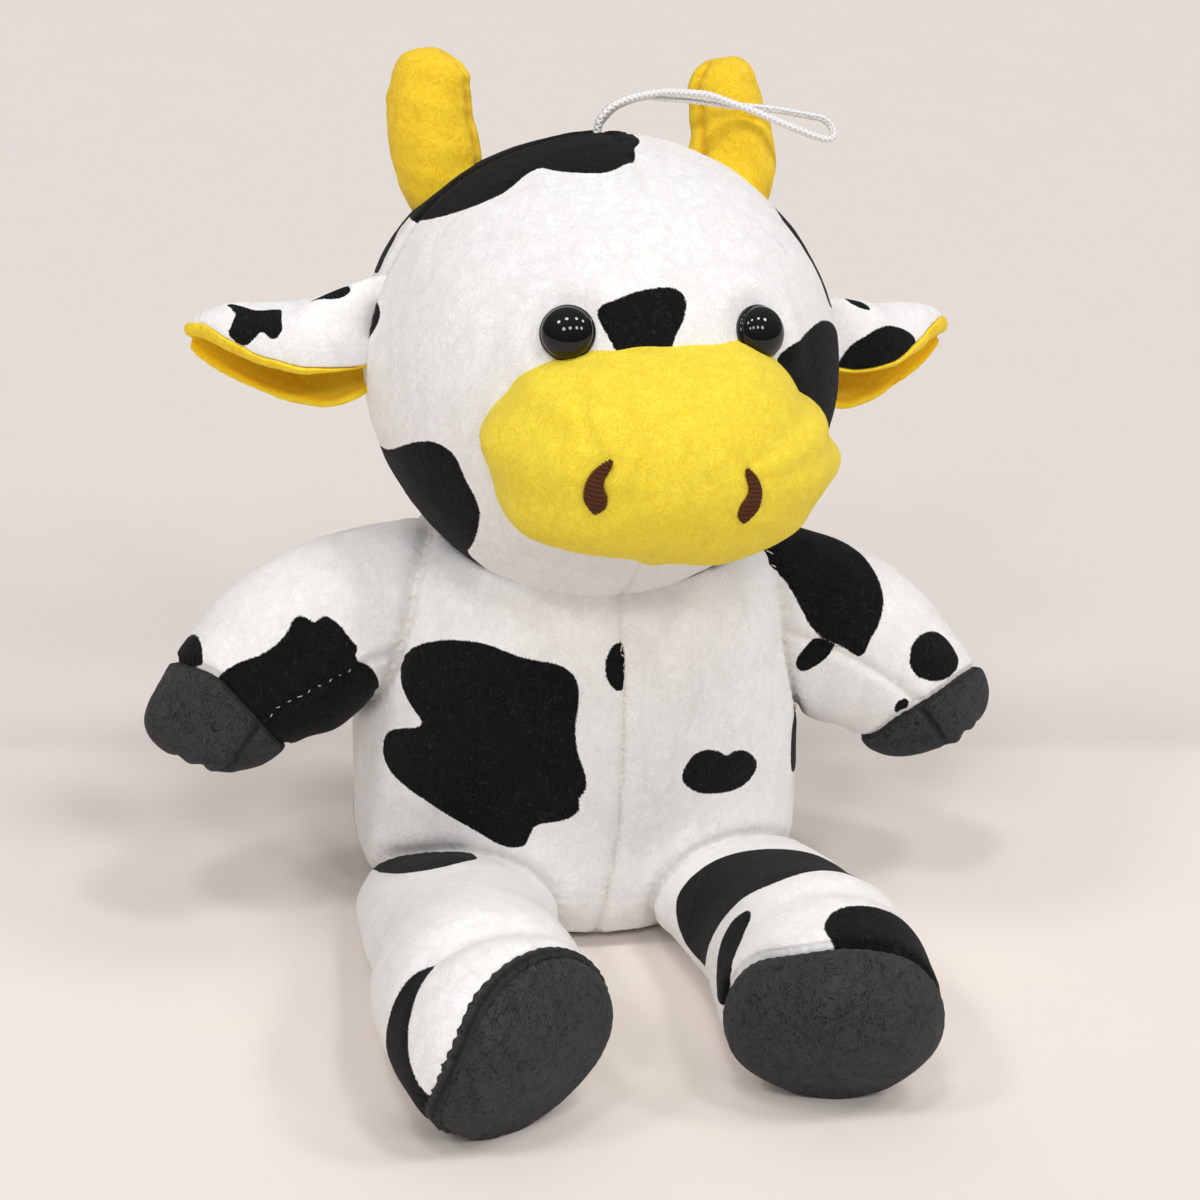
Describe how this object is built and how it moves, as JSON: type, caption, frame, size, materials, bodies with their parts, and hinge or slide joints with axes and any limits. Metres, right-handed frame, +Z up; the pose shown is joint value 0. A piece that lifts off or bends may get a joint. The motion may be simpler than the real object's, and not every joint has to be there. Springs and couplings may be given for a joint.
{
  "type": "plush cow",
  "caption": "Sitting stuffed plush cow with a round head, folded ears, short horns, domed eyes, limbs that spring back at their seams and a cord loop to hang it by.",
  "frame": {"origin": "middle of the flat base that the body sits on, on the table", "axes": "+Z up, -Y the way the cow faces, +X to the cow's own left"},
  "size_m": [0.2071, 0.2517, 0.2032],
  "materials": {
    "white_minky": "short pile with printed black spots",
    "yellow_minky": "short pile",
    "grey_minky": "short pile",
    "black_minky": "short pile",
    "brown_thread": "satin stitch",
    "white_cord": "braided",
    "fibre_filling": "loose polyester fibre",
    "eye_plastic": "polished",
    "washer_plastic": "moulded"
  },
  "bodies": {
    "torso": {"body_cover": "white_minky", "body_stuffing": "fibre_filling"},
    "head": {"eye_right": "eye_plastic", "eye_washer_right": "washer_plastic", "horn_right_cover": "yellow_minky", "horn_right_stuffing": "fibre_filling", "eye_left": "eye_plastic", "eye_washer_left": "washer_plastic", "head_cover": "white_minky", "head_stuffing": "fibre_filling", "nostril_left": "brown_thread", "nostril_right": "brown_thread", "muzzle_cover": "yellow_minky", "muzzle_stuffing": "fibre_filling", "horn_left_cover": "yellow_minky", "horn_left_stuffing": "fibre_filling", "hang_loop": "white_cord"},
    "ear_left": {"ear_left_outer": "white_minky", "ear_left_lining": "yellow_minky"},
    "ear_right": {"ear_right_outer": "white_minky", "ear_right_lining": "yellow_minky"},
    "arm_left": {"arm_left_sleeve": "white_minky", "arm_left_hoof": "grey_minky", "arm_left_stuffing": "fibre_filling"},
    "arm_right": {"arm_right_sleeve": "white_minky", "arm_right_hoof": "grey_minky", "arm_right_stuffing": "fibre_filling"},
    "leg_left": {"leg_left_sleeve": "white_minky", "leg_left_sole": "grey_minky", "leg_left_stuffing": "fibre_filling"},
    "leg_right": {"leg_right_sleeve": "white_minky", "leg_right_sole": "grey_minky", "leg_right_stuffing": "fibre_filling"},
    "tail": {"tail_cover": "white_minky", "tail_tuft": "black_minky"}
  },
  "joints": [
    {"name": "head_turn", "type": "hinge", "parent": "torso", "child": "head", "pos_m": [0, 0, 0.1355], "axis": [0.0349, 0, 0.9994], "range_deg": [-20, 20], "stiffness_Nm_per_rad": 0.5},
    {"name": "arm_left_raise", "type": "hinge", "parent": "torso", "child": "arm_left", "pos_m": [0.04, 0.006, 0.0955], "axis": [0, -1, 0], "range_deg": [0, 35], "stiffness_Nm_per_rad": 0.2},
    {"name": "arm_right_raise", "type": "hinge", "parent": "torso", "child": "arm_right", "pos_m": [-0.04, 0.006, 0.097], "axis": [0, 1, 0], "range_deg": [0, 35], "stiffness_Nm_per_rad": 0.2},
    {"name": "leg_left_raise", "type": "hinge", "parent": "torso", "child": "leg_left", "pos_m": [0.036, -0.0265, 0.034], "axis": [-1, 0, 0], "range_deg": [0, 35], "stiffness_Nm_per_rad": 0.5},
    {"name": "leg_right_raise", "type": "hinge", "parent": "torso", "child": "leg_right", "pos_m": [-0.036, -0.0265, 0.034], "axis": [-1, 0, 0], "range_deg": [0, 35], "stiffness_Nm_per_rad": 0.5},
    {"name": "ear_left_lift", "type": "hinge", "parent": "head", "child": "ear_left", "pos_m": [0.054, -0.002, 0.154], "axis": [0, -1, 0], "range_deg": [0, 25], "stiffness_Nm_per_rad": 0.03},
    {"name": "ear_right_lift", "type": "hinge", "parent": "head", "child": "ear_right", "pos_m": [-0.054, -0.002, 0.158], "axis": [0, 1, 0], "range_deg": [0, 25], "stiffness_Nm_per_rad": 0.03},
    {"name": "tail_swing", "type": "hinge", "parent": "torso", "child": "tail", "pos_m": [0, 0.0479, 0.021], "axis": [0, 0, 1], "range_deg": [-35, 35], "stiffness_Nm_per_rad": 0.02}
  ]
}
